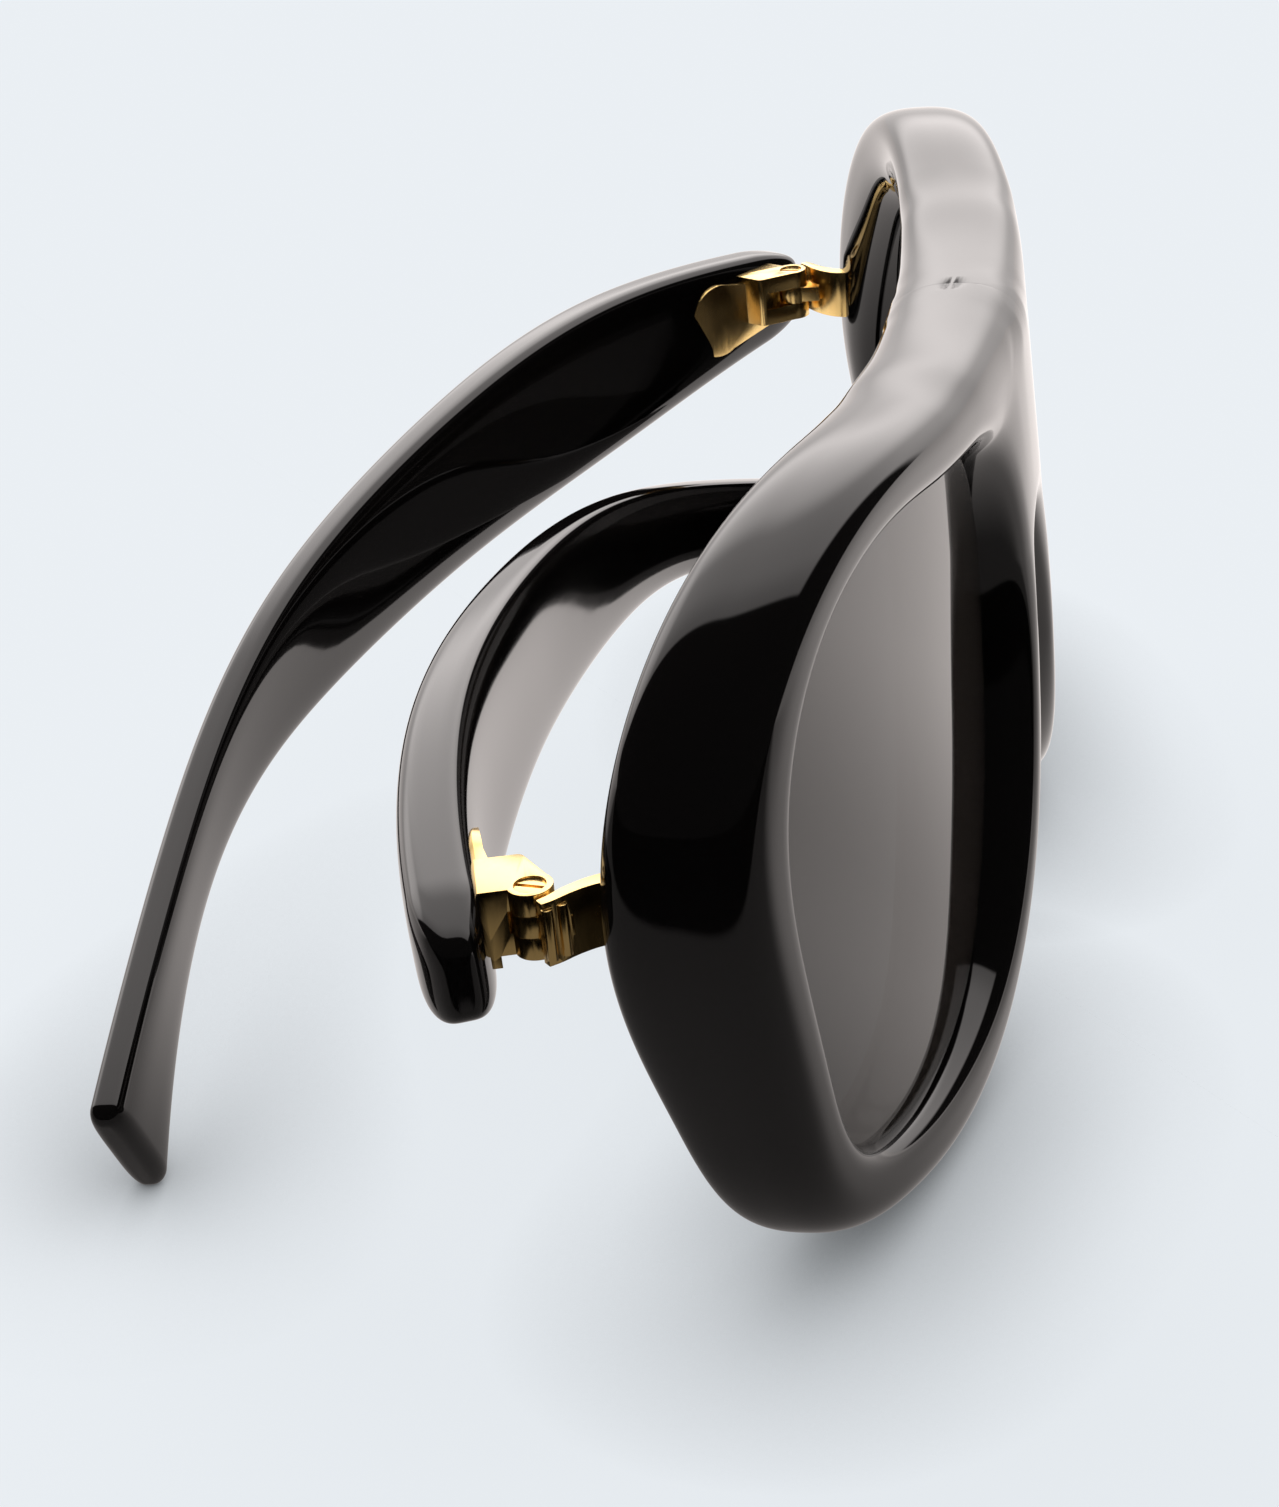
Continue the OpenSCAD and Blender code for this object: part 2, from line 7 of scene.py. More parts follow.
import bmesh
import bpy
import numpy as np
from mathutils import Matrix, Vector


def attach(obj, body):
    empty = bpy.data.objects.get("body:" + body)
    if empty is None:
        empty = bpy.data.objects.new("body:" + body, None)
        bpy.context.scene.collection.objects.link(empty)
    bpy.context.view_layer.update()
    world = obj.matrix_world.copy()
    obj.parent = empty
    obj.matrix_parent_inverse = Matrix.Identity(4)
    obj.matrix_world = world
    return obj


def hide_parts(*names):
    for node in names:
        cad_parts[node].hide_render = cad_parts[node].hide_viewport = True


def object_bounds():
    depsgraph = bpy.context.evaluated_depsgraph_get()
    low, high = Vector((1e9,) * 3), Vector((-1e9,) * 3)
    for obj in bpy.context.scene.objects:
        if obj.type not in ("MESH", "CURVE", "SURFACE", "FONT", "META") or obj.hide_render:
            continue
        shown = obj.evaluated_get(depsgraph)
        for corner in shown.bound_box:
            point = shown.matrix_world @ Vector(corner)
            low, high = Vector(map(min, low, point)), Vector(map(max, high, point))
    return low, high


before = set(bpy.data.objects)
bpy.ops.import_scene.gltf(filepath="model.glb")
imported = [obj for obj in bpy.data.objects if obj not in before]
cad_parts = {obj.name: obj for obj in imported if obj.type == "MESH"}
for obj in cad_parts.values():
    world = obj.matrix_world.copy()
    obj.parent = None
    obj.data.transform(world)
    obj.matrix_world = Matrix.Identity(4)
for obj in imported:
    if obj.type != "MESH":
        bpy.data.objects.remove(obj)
CAD_BOX = [list(corner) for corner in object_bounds()]

bl_info = {
    "name": "Sunglasses",
    "version": (1, 0, 0),
    "blender": (4, 5, 0),
    "location": "3D Viewport > Sidebar > Sunglasses",
    "description": "Builds black sunglasses with deep-set lenses and gold hinges",
    "category": "Object",
}

SIDES = {"right": -1, "left": 1}

# Shape tables, as shares of the mean sizes. The front's run round a lens from
# the outer side, up and over to the nose, and back underneath.
OPENING = [1.04, 1.14, 1.16, 1.02, 0.9, 0.92, 1.02, 1, 0.92, 0.9, 0.93, 0.98, 0.99, 1.03, 1.08, 1.02]
WIDTH = [1.1, 1.16, 0.98, 0.95, 1, 1.15, 1.45, 0.9, 0.71, 0.81, 0.93, 1.05, 1.11, 1.02, 1.06, 1.05]
BACK = [1.27, 1.16, 0.98, 0.88, 0.9, 0.98, 1.06, 1.1, 1.08, 1.06, 1.04, 0.98, 0.94, 0.9, 0.92, 1.08]
FRONT = [0.95, 0.94, 0.94, 0.96, 0.98, 1, 1.04, 1.13, 1.19, 1.19, 1.13, 0.98, 0.85, 0.79, 0.79, 0.88]
# The temples' run from the hinge to the ear: angles in degrees, then shares.
BOW = [-7, 6, 13, 21, 33, 39]
DROP = [-1, -2.5, -6, -10, -21, -30]
TWIST = [1, 3.5, 2, 1, -7, 2]
HEIGHT = [0.68, 1.27, 1.25, 1, 0.74, 1.07]
THICKNESS = [1.2, 1.32, 1.1, 0.86, 0.72, 0.78]

# Turns round a lens where the bridge's upper edge starts, meets the middle
# plane, leaves it again below, and ends.
BRIDGE = np.array([24, 27, 33, 39]) / 72
# Distance from the middle plane over which both halves take on one depth.
MIDDLE_REACH = 0.012
# Back lip that closes in behind a lens at the hinge corner: its most, the turn
# where it is deepest and how many turns it spans to each side.
LIP, LIP_AT, LIP_SPAN = 0.0036, 0.1, 0.13
# Share of the depth over which that lip closes in.
LIP_RISE = 0.3
# Turn between the two points that give the rim line's slope at the bridge.
SLOPE_STEP = 0.0003
# How much wider than even the stations stand at the middle of the bridge's top.
MIDDLE_SPREAD = 0.54
# Least share of the depth at an outer edge, and where the shell meets a lens.
EDGE_DEPTH, OPENING_DEPTH = 0.01, 1e-4
# Slack in comparing turns.
SLACK = 1e-9


def length(name, description, default, least=0.0):
    """A size in metres for a property group."""
    return bpy.props.FloatProperty(
        name=name, description=description, default=default, min=least, precision=4, step=0.01, unit="LENGTH"
    )


def share(name, description, default):
    """A plain number for a property group."""
    return bpy.props.FloatProperty(name=name, description=description, default=default, precision=3)


def colour(name, description, default):
    """A linear colour for a property group."""
    return bpy.props.FloatVectorProperty(
        name=name, description=description, default=default, size=3, min=0.0, max=1.0, subtype="COLOR"
    )


class FrontSizes(bpy.types.PropertyGroup):
    opening: length("Lens opening", "Mean radius of a lens opening", 0.025)
    lens_x: length("Lens centre", "From the middle to a lens centre", 0.033)
    rim: length("Rim width", "Mean width of the rim from the front", 0.006)
    half_depth: length("Half depth", "Mean half depth of the rim", 0.0052)
    wrap: length("Wrap radius", "Radius of the front's wrap round the face", 0.171)
    bridge_top: length("Bridge top", "Bridge's upper edge above the lens centres", 0.027)
    bridge_low: length("Bridge low", "Bridge's lower edge above the lens centres", 0.007)
    top_round: length("Top rounding", "Rounding of the bridge's upper edge", 0.0045)
    low_round: length("Low rounding", "Rounding of the bridge's lower edge", 0.0026)
    outer_power: share("Outer power", "How round the outer half of the rim's section is", 0.8)
    inner_power: share("Inner power", "How round the inner half of the rim's section is", 0.6)
    lean: share("Lean", "Backward lean in degrees", 6.34)


class LensSizes(bpy.types.PropertyGroup):
    thickness: length("Thickness", "Thickness of a lens", 0.002)
    back: length("Setback", "Lens behind the middle of the rim, below zero ahead of it", -0.001, least=-0.002)
    seat: length("Seat", "How far a lens reaches into the rim", 0.0008)


class TempleSizes(bpy.types.PropertyGroup):
    along: length("Length", "Length of a temple along its curve", 0.135)
    height: length("Height", "Mean height of a temple", 0.0115)
    thickness: length("Thickness", "Mean thickness of a temple", 0.0042)
    power: share("Section power", "How square a temple's section is", 0.5)
    out: length("Out", "From the pin out to the inner face", 0.00252)
    ahead: length("Ahead", "From the pin forward to the end", 0.0053)
    fall: length("Fall", "From the hinge's middle down to the temple's", 0.0012)
    end_round: length("Hinge end", "Length of the hinge end's rounding", 0.006)
    tip_round: length("Ear end", "Length of the ear end's rounding", 0.0014)
    blunt: share("Blunt", "Size of the end faces", 0.25)
    splay: share("Splay", "Outward turn when fully open, in degrees", 9.0)
    fold_right: share("Right fold", "Fold of the right temple, in degrees", 84.66)
    fold_left: share("Left fold", "Fold of the left temple, in degrees", 65.04)


class HingeSizes(bpy.types.PropertyGroup):
    x: length("Pin", "From the middle to a hinge pin", 0.0631)
    y: length("Pin back", "Hinge pin behind the bridge", 0.0231)
    z: length("Hinge height", "Hinge's middle above the lens centres", 0.0061)
    edge: length("Edge", "Rounding of the metal's edges", 0.0001)


class Finishes(bpy.types.PropertyGroup):
    acetate: colour("Acetate", "Colour of the polished black acetate", (0.0035, 0.003, 0.003))
    gold: colour("Gold", "Colour of the gold plate", (0.83, 0.6, 0.25))
    lens: colour("Lens", "Colour of the smoke lens", (0.03, 0.025, 0.021))
    wire: colour("Wire", "Colour of the core wire", (0.55, 0.55, 0.57))
    floor: colour("Floor", "Colour of the studio floor", (0.83, 0.875, 0.915))


# ---------------------------------------------------------------- curves
def closed_spline(values, u):
    """A smooth closed curve through equally spaced values, read at u from 0 to
    1. Uniform cubic B-spline whose weights solve (1, 4, 1) / 6 round the ring."""
    values = np.asarray(values, float)
    n = len(values)
    kernel = np.zeros(n)
    kernel[[0, 1, -1]] = [4 / 6, 1 / 6, 1 / 6]
    weights = np.fft.ifft(np.fft.fft(values) / np.fft.fft(kernel)).real
    t = np.asarray(u, float) * n
    i = np.floor(t).astype(int)
    f = t - i
    near = [weights[(i + k) % n] for k in (-1, 0, 1, 2)]
    basis = [(1 - f) ** 3, 3 * f**3 - 6 * f**2 + 4, -3 * f**3 + 3 * f**2 + 3 * f + 1, f**3]
    return sum(w * b for w, b in zip(near, basis)) / 6


def open_spline(values, u):
    """A smooth open curve through equally spaced values, read at u from 0 to 1.
    Natural cubic spline: the second derivatives solve the usual banded system."""
    v = np.asarray(values, float)
    n = len(v)
    system = np.eye(n)
    for k in range(1, n - 1):
        system[k, k - 1 : k + 2] = [1, 4, 1]
    right = np.zeros(n)
    right[1:-1] = 6 * (v[:-2] - 2 * v[1:-1] + v[2:])
    bend = np.linalg.solve(system, right)
    t = np.clip(np.asarray(u, float), 0, 1) * (n - 1)
    i = np.minimum(np.floor(t).astype(int), n - 2)
    f = t - i
    g = 1 - f
    return g * v[i] + f * v[i + 1] + ((g**3 - g) * bend[i] + (f**3 - f) * bend[i + 1]) / 6


def eased(f):
    """Smooth step from 0 to 1: 3 f squared less 2 f cubed."""
    f = np.clip(f, 0, 1)
    return f * f * (3 - 2 * f)


def power(x, p):
    """Signed power, for superellipse sections."""
    return np.sign(x) * np.abs(x) ** p


# ---------------------------------------------------------------- the front's form
class FrontForm:
    """The front before it leans back. u is the turn round a lens, from 0 at the
    outer side over the top to 1. Points are x, y, z with x from the middle."""

    # How strongly the section's steps crowd towards its two ends.
    crowding = 1.3

    def __init__(self, sizes):
        self.s = sizes
        self.top_q = self.rim_line(np.array([BRIDGE[0]]))[0]
        self.low_q = self.rim_line(np.array([BRIDGE[3]]))[0]
        before = self.rim_line(np.array([BRIDGE[0] - SLOPE_STEP]))[0]
        slope = (self.top_q[1] - before[1]) / (self.top_q[0] - before[0])
        self.top_bend = slope * self.top_q[0] / 2 - (self.top_q[1] - sizes.bridge_top)

    def polar(self, u, radius):
        """Points at a radius from the lens centre: x = lens_x + r cos, z = r sin."""
        a = 2 * np.pi * u
        return np.stack([self.s.lens_x + radius * np.cos(a), radius * np.sin(a)], -1)

    def opening_line(self, u):
        """The edge of the lens opening."""
        return self.polar(u, self.s.opening * closed_spline(OPENING, u))

    def rim_line(self, u):
        """The opening's edge plus the rim's width."""
        radius = self.s.opening * closed_spline(OPENING, u) + self.s.rim * closed_spline(WIDTH, u)
        return self.polar(u, radius)

    def outline(self, u):
        """The outer edge: the rim line, but even curves of the distance from the
        middle along the bridge's upper and lower edges and, between them, the
        middle plane from top to bottom."""
        b = BRIDGE
        mid = (self.s.bridge_top + self.s.bridge_low) / 2
        half = (self.s.bridge_top - self.s.bridge_low) / 2
        s_top = ((b[1] - u) / (b[1] - b[0]))[:, None]
        s_top = s_top * (1 + MIDDLE_SPREAD * (1 - s_top))
        s_low = ((u - b[2]) / (b[3] - b[2]))[:, None]
        rise = self.top_q[1] - self.s.bridge_top + self.top_bend * (s_top**2 - 1)
        top = np.hstack([self.top_q[0] * s_top, self.s.bridge_top + s_top**2 * rise])
        drop = (self.low_q[1] - self.s.bridge_low) * s_low**2
        low = np.hstack([self.low_q[0] * s_low, self.s.bridge_low + drop])
        down = mid + half * np.cos(np.pi * (u - b[1]) / (b[2] - b[1]))
        plane = np.stack([np.zeros_like(u), down], -1)
        zone = np.searchsorted(b, u, side="right")[:, None]
        line = np.where(zone == 1, top, self.rim_line(u))
        line = np.where(zone == 3, low, line)
        return np.where(self.joined(u)[:, None], plane, line)

    def joined(self, u):
        """Whether a station lies on the middle plane, where the halves meet."""
        return (u >= BRIDGE[1] - SLACK) & (u <= BRIDGE[2] + SLACK)

    def near_edge(self, p, q, z, bend, sign, reach):
        """How much depth the rounding of a bridge edge leaves at p: the distance
        to the edge's curve, over the rounding's length, on a superellipse."""
        share = p[..., 0] / q[0]
        height = p[..., 1] - z - share**2 * (q[1] - z + bend * (share**2 - 1))
        slope = 2 * share * (q[1] - z + bend * (2 * share**2 - 1)) / q[0]
        v = np.clip(sign * height / np.sqrt(1 + slope**2) / reach, 0, 1)
        n = 2 / self.s.outer_power
        return (1 - (1 - v) ** n) ** (1 / n)

    def bridged(self, u):
        """How far a station belongs to the bridge, from 0 to 1."""
        b = BRIDGE
        return np.minimum(eased((u - b[0]) / (b[1] - b[0])), eased((b[3] - u) / (b[3] - b[2])))

    def surface(self, u, q, lift):
        """Points of the shell: u round the lens, q the share of the way from the
        opening to the outline, and lift the plain section's share of the depth,
        negative in front. In the bridge the edges' rounding takes its place, the
        depth tables are read at one turn for both halves near the middle plane,
        and behind a lens's hinge corner the back lip closes in."""
        inner, outer = self.opening_line(u), self.outline(u)
        p = inner[:, None] + (outer - inner)[:, None] * q[None, :, None]
        lip = LIP * eased(1 - np.abs((u - LIP_AT + 0.5) % 1 - 0.5) / LIP_SPAN)
        spoke = inner - [self.s.lens_x, 0]
        outward = spoke / np.linalg.norm(spoke, axis=-1, keepdims=True)
        closed = np.clip(1 - q, 0, 1)[None] ** 2 * eased(lift / LIP_RISE)[None] * lip[:, None]
        p = p - outward[:, None] * closed[..., None]
        upper = self.near_edge(p, self.top_q, self.s.bridge_top, self.top_bend, -1, self.s.top_round)
        lower = self.near_edge(p, self.low_q, self.s.bridge_low, 0, 1, self.s.low_round)
        w = self.bridged(u)[:, None] * (q[None] > 0.5)
        height = np.abs(lift)[None] * (1 - w) + np.maximum(upper * lower, EDGE_DEPTH) * w
        middle = 1 - eased(p[..., 0] / MIDDLE_REACH)
        own = np.arctan2(p[..., 1], p[..., 0] - self.s.lens_x) / (2 * np.pi) % 1
        at_middle = np.arctan2(p[..., 1], -self.s.lens_x) / (2 * np.pi) % 1
        turn = np.where(middle > 0, own + (at_middle - own) * middle, own)
        swell = np.where(lift[None] > 0, closed_spline(BACK, turn), -closed_spline(FRONT, turn))
        depth = swell * self.s.half_depth
        y = p[..., 0] ** 2 / (2 * self.s.wrap) + height * depth
        return np.stack([p[..., 0], y, p[..., 1]], -1)

    def section(self, steps):
        """The plain rim section from the outline's back to its front: q and lift
        of two superellipse halves, the outer one rounder than the inner one."""
        t = np.linspace(0, 1, steps)
        outer_t = np.pi / 2 * t**self.crowding
        inner_t = np.pi / 2 * (1 - (1 - t[1:]) ** self.crowding)
        outer, inner = self.s.outer_power, self.s.inner_power
        q = np.concatenate([(1 + np.cos(outer_t) ** outer) / 2, (1 - np.sin(inner_t) ** inner) / 2])
        lift = np.concatenate([np.maximum(np.sin(outer_t) ** outer, EDGE_DEPTH), np.cos(inner_t) ** inner])
        lift[-1] = OPENING_DEPTH
        return np.concatenate([q, q[::-1]]), np.concatenate([lift, -lift[::-1]])

    def leaned(self, p):
        """Moves the front's own frame to how it stands: down by the bridge's
        height, then back about the X axis."""
        a = math.radians(self.s.lean)
        x, y, z = p[..., 0], p[..., 1], p[..., 2] - self.s.bridge_low
        return np.stack([x, y * math.cos(a) + z * math.sin(a), z * math.cos(a) - y * math.sin(a)], -1)


# ---------------------------------------------------------------- meshes
def grid_quads(rows, columns, close_rows=False, close_columns=False):
    """Corner numbers of a grid's cells, rows by columns, closed where asked."""
    i = np.arange(rows if close_rows else rows - 1)[:, None]
    j = np.arange(columns if close_columns else columns - 1)[None, :]
    a = i * columns + j
    b = i * columns + (j + 1) % columns
    c = (i + 1) % rows * columns + (j + 1) % columns
    d = (i + 1) % rows * columns + j
    return np.stack(np.broadcast_arrays(a, b, c, d), -1).reshape(-1, 4)


def mesh_from(name, points, quads, merge=1e-7, smooth=True):
    """A mesh of quads with doubles merged and faces pointing outwards."""
    mesh = bpy.data.meshes.new(name)
    quads = np.asarray(quads, np.int32)
    mesh.vertices.add(len(points))
    mesh.vertices.foreach_set("co", np.ascontiguousarray(points, np.float32).ravel())
    mesh.loops.add(quads.size)
    mesh.loops.foreach_set("vertex_index", quads.ravel())
    mesh.polygons.add(len(quads))
    mesh.polygons.foreach_set("loop_start", np.arange(0, quads.size, 4, dtype=np.int32))
    mesh.update(calc_edges=True)
    mesh.validate()
    bm = bmesh.new()
    bm.from_mesh(mesh)
    bmesh.ops.remove_doubles(bm, verts=bm.verts, dist=merge)
    bmesh.ops.dissolve_degenerate(bm, edges=bm.edges, dist=1e-9)
    bmesh.ops.recalc_face_normals(bm, faces=bm.faces)
    bm.to_mesh(mesh)
    bm.free()
    mesh.polygons.foreach_set("use_smooth", np.full(len(mesh.polygons), smooth))
    mesh.update()
    return mesh


def piece_from(name, mesh, material, body, node):
    """Links a mesh as one piece: it rides on a body and replaces a CAD node."""
    piece = bpy.data.objects.new(name, mesh)
    bpy.context.scene.collection.objects.link(piece)
    mesh.materials.clear()
    mesh.materials.append(material)
    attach(piece, body)
    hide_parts(node)
    return piece


def turned(points, pivot, axis, degrees):
    """Points turned about an axis through a pivot by Rodrigues' formula."""
    a = math.radians(degrees)
    axis = np.asarray(axis, float) / np.linalg.norm(axis)
    p = points - pivot
    along = (p @ axis)[..., None] * axis * (1 - math.cos(a))
    return pivot + p * math.cos(a) + np.cross(axis, p) * math.sin(a) + along


# ---------------------------------------------------------------- shaders
class Wire:
    """A shader socket that arithmetic can be done on. Each operator adds the
    Math node it stands for."""

    def __init__(self, shader, socket):
        self.shader = shader
        self.socket = socket

    def _math(self, operation, *values, clamp=False):
        chosen = {"operation": operation, "use_clamp": clamp}
        return self.shader.node("ShaderNodeMath", chosen, dict(enumerate(values)))

    def __add__(self, other):
        return self._math("ADD", self, other)

    def __radd__(self, other):
        return self._math("ADD", other, self)

    def __sub__(self, other):
        return self._math("SUBTRACT", self, other)

    def __rsub__(self, other):
        return self._math("SUBTRACT", other, self)

    def __mul__(self, other):
        return self._math("MULTIPLY", self, other)

    def __rmul__(self, other):
        return self._math("MULTIPLY", other, self)

    def __truediv__(self, other):
        return self._math("DIVIDE", self, other)

    def __pow__(self, other):
        return self._math("POWER", self, other)

    def clamped(self):
        return self._math("ADD", self, 0.0, clamp=True)


class Shader:
    """A material or world tree that is emptied and built up node by node."""

    def __init__(self, owner):
        owner.use_nodes = True
        self.tree = owner.node_tree
        self.tree.nodes.clear()

    def node(self, kind, settings=None, inputs=None, output=0):
        """Adds a node of a kind, with its settings set first and then the values
        or links of its inputs, and returns one of its outputs."""
        made = self.tree.nodes.new(kind)
        for key, value in (settings or {}).items():
            setattr(made, key, value)
        for key, value in (inputs or {}).items():
            self.feed(made.inputs[key], value)
        return Wire(self, made.outputs[output])

    def feed(self, socket, value):
        """Links a wire to a socket or sets its value; a colour gets full alpha."""
        if isinstance(value, Wire):
            self.tree.links.new(value.socket, socket)
        elif socket.type == "RGBA" and len(value) == 3:
            socket.default_value = (*value, 1.0)
        else:
            socket.default_value = value

    def noise(self, scale, detail=2.0, roughness=0.5, stretch=None):
        """Noise on Object coordinates, from 0 to 1, stretched where asked."""
        place = self.node("ShaderNodeTexCoord", output="Object")
        if stretch:
            place = self.node("ShaderNodeMapping", {}, {"Vector": place, "Scale": stretch})
        grain = {"Vector": place, "Scale": scale, "Detail": detail, "Roughness": roughness}
        return self.node("ShaderNodeTexNoise", {}, grain)

    def ramp(self, value, start, end):
        """Eases a value from 0 at start to 1 at end."""
        return self.node(
            "ShaderNodeMapRange",
            {"interpolation_type": "SMOOTHSTEP"},
            {"Value": value, "From Min": start, "From Max": end},
        )

    def bump(self, height, strength, distance):
        """A normal tilted by a height."""
        return self.node("ShaderNodeBump", {}, {"Height": height, "Strength": strength, "Distance": distance})

    def mix(self, factor, first, second):
        """A colour between two, by a factor."""
        return self.node(
            "ShaderNodeMix", {"data_type": "RGBA"}, {"Factor": factor, 6: first, 7: second}, output=2
        )

    def surface(self, inputs):
        """Ends the tree in one principled surface."""
        self.node_output(self.node("ShaderNodeBsdfPrincipled", {}, inputs))

    def node_output(self, shader):
        """Ends a material's tree in a shader."""
        out = self.tree.nodes.new("ShaderNodeOutputMaterial")
        self.tree.links.new(shader.socket, out.inputs["Surface"])


def acetate_material(colours):
    """Polished black acetate: nearly black with a faint warm drift, a hand
    polish that leaves very shallow waves, and fine hairlines in its gloss."""
    material = bpy.data.materials.new("polished_black_acetate")
    sh = Shader(material)
    darker, lighter = (tuple(c * by for c in colours.acetate) for by in (0.8, 1.3))
    tone = sh.mix(sh.noise(scale=60.0, detail=3.0), darker, lighter)
    hairlines = sh.noise(scale=900.0, detail=2.0, roughness=0.6, stretch=(0.25, 1.0, 1.0))
    waves = sh.noise(scale=55.0, detail=1.0, roughness=0.4)
    polish, hairline_gloss = 0.035, 0.03
    sh.surface(
        {
            "Base Color": tone,
            "Roughness": polish + hairline_gloss * hairlines,
            "IOR": 1.5,
            "Specular IOR Level": 0.5,
            "Normal": sh.bump(waves, strength=0.12, distance=0.0004),
        }
    )
    return material


def gold_material(colours):
    """Gold plate: polished, with a slightly redder tone in patches and the
    fine lengthwise marks that the polishing wheel leaves."""
    material = bpy.data.materials.new("polished_gold_plate")
    sh = Shader(material)
    plain = tuple(colours.gold)
    redder = tuple(c * by for c, by in zip(plain, (0.97, 0.92, 0.82)))
    tone = sh.mix(sh.noise(scale=300.0, detail=2.0), plain, redder)
    marks = sh.noise(scale=2500.0, detail=3.0, roughness=0.6, stretch=(1.0, 1.0, 0.12))
    polish, mark_gloss = 0.16, 0.16
    sh.surface(
        {
            "Base Color": tone,
            "Metallic": 1.0,
            "Roughness": polish + mark_gloss * marks,
            "Normal": sh.bump(marks, strength=0.08, distance=0.00004),
        }
    )
    return material


def lens_material(colours):
    """Smoke lens: clear dark tint, a little denser towards the top, with a
    hard glossy coat."""
    material = bpy.data.materials.new("smoke_lens")
    sh = Shader(material)
    place = sh.node("ShaderNodeTexCoord", output="Object")
    height = sh.node("ShaderNodeSeparateXYZ", {}, {0: place}, output="Z")
    foot, per_metre = 0.035, 20.0
    up = ((height + foot) * per_metre).clamped()
    haze = sh.noise(scale=140.0, detail=2.0)
    plain = tuple(colours.lens)
    hazy = tuple(c * 1.15 for c in plain)
    polish, haze_gloss = 0.015, 0.012
    foot_density, more_above = 0.84, 0.08
    sh.surface(
        {
            "Base Color": sh.mix(haze, plain, hazy),
            "Roughness": polish + haze_gloss * haze,
            "IOR": 1.52,
            "Alpha": foot_density + more_above * up,
        }
    )
    return material


def wire_material(colours):
    """Drawn steel wire with lengthwise marks."""
    material = bpy.data.materials.new("drawn_steel_wire")
    sh = Shader(material)
    marks = sh.noise(scale=1800.0, detail=2.0, roughness=0.5, stretch=(0.1, 1.0, 1.0))
    drawn, mark_gloss = 0.28, 0.15
    sh.surface(
        {
            "Base Color": sh.mix(marks, tuple(colours.wire), tuple(c * 0.8 for c in colours.wire)),
            "Metallic": 1.0,
            "Roughness": drawn + mark_gloss * marks,
        }
    )
    return material


MAKERS = {
    "acetate": acetate_material,
    "gold": gold_material,
    "lens": lens_material,
    "wire": wire_material,
}
MADE = {}


def finish_of(kind):
    """One material of a kind, made once."""
    if kind not in MADE:
        MADE[kind] = MAKERS[kind](bpy.context.scene.glasses_finishes)
    return MADE[kind]


# ---------------------------------------------------------------- operators
def settings():
    """The four groups of sizes: front, lens, temple and hinge."""
    scene = bpy.context.scene
    return scene.glasses_front, scene.glasses_lens, scene.glasses_temple, scene.glasses_hinge


class GLASSES_OT_front(bpy.types.Operator):
    """Builds the one-piece front round both lenses"""

    bl_idname = "glasses.front"
    bl_label = "Front"

    stations = 360
    section_steps = 26
    rounds = 90
    pace = 0.6
    # Where the skin may move, each as a place and the length of its easing: out to
    # this far from the middle, beyond the middle plane, above this height and off
    # the lens opening.
    within = (0.03, 0.01)
    beyond = (0.002, 0.006)
    above = (-0.009, 0.006)
    off_opening = (0.0022, 0.004)

    def execute(self, context):
        form = FrontForm(settings()[0])
        u = np.arange(self.stations) / self.stations
        q, lift = form.section(self.section_steps)
        half = form.leaned(form.surface(u, q, lift))
        n = len(q)
        joined = form.joined(u)
        ends = np.zeros((self.stations, n), bool)
        ends[joined, 0] = ends[joined, -1] = True
        half[..., 0] = np.where(ends, 0.0, half[..., 0])
        quads = grid_quads(self.stations, n, True, True)
        i, j = quads[:, 0] // n, quads[:, 0] % n
        inside = (j == n - 1) & joined[i] & joined[(i + 1) % self.stations]
        quads = quads[~inside]
        other = half * [-1, 1, 1]
        points = np.concatenate([half.reshape(-1, 3), other.reshape(-1, 3)])
        faces = np.concatenate([quads, quads[:, ::-1] + self.stations * n])
        mesh = mesh_from("front", points, faces)
        self.soften(mesh)
        piece_from("front", mesh, finish_of("acetate"), "front", "front_frame")
        return {"FINISHED"}

    def soften(self, mesh):
        """Relaxes the skin to both sides of the bridge's middle: each point moves
        towards the mean of its neighbours, round after round, and the relaxed
        change is then given back once, so that the bulk stays. The middle plane,
        the outer rims, what lies low and the lens openings are held."""
        count = len(mesh.vertices)
        edges = np.empty(len(mesh.edges) * 2, np.int32)
        mesh.edges.foreach_get("vertices", edges)
        a, b = edges[0::2], edges[1::2]
        ends = np.concatenate([a, b])
        others = np.concatenate([b, a])
        degree = np.bincount(ends, minlength=count)[:, None]
        flat = np.empty(count * 3)
        mesh.vertices.foreach_get("co", flat)
        start = flat.reshape(-1, 3)
        front = bpy.context.scene.glasses_front
        lean = math.radians(front.lean)
        up = start[:, 1] * math.sin(lean) + start[:, 2] * math.cos(lean) + front.bridge_low
        side = np.abs(start[:, 0]) - front.lens_x
        turn = np.arctan2(up, side) / (2 * np.pi) % 1
        off = np.hypot(side, up) - front.opening * closed_spline(OPENING, turn)
        apart = np.abs(start[:, 0])
        free = eased((self.within[0] - apart) / self.within[1])
        for distance, (place, reach) in ((apart, self.beyond), (up, self.above), (off, self.off_opening)):
            free *= eased((distance - place) / reach)

        def relaxed(values):
            for _ in range(self.rounds):
                sums = [np.bincount(ends, values[others, k], count) for k in range(3)]
                values = values + (np.stack(sums, -1) / degree - values) * self.pace * free[:, None]
            return values

        smooth = relaxed(start)
        smooth = smooth + relaxed(start - smooth) * free[:, None]
        mesh.vertices.foreach_set("co", smooth.astype(np.float32).ravel())
        mesh.update()


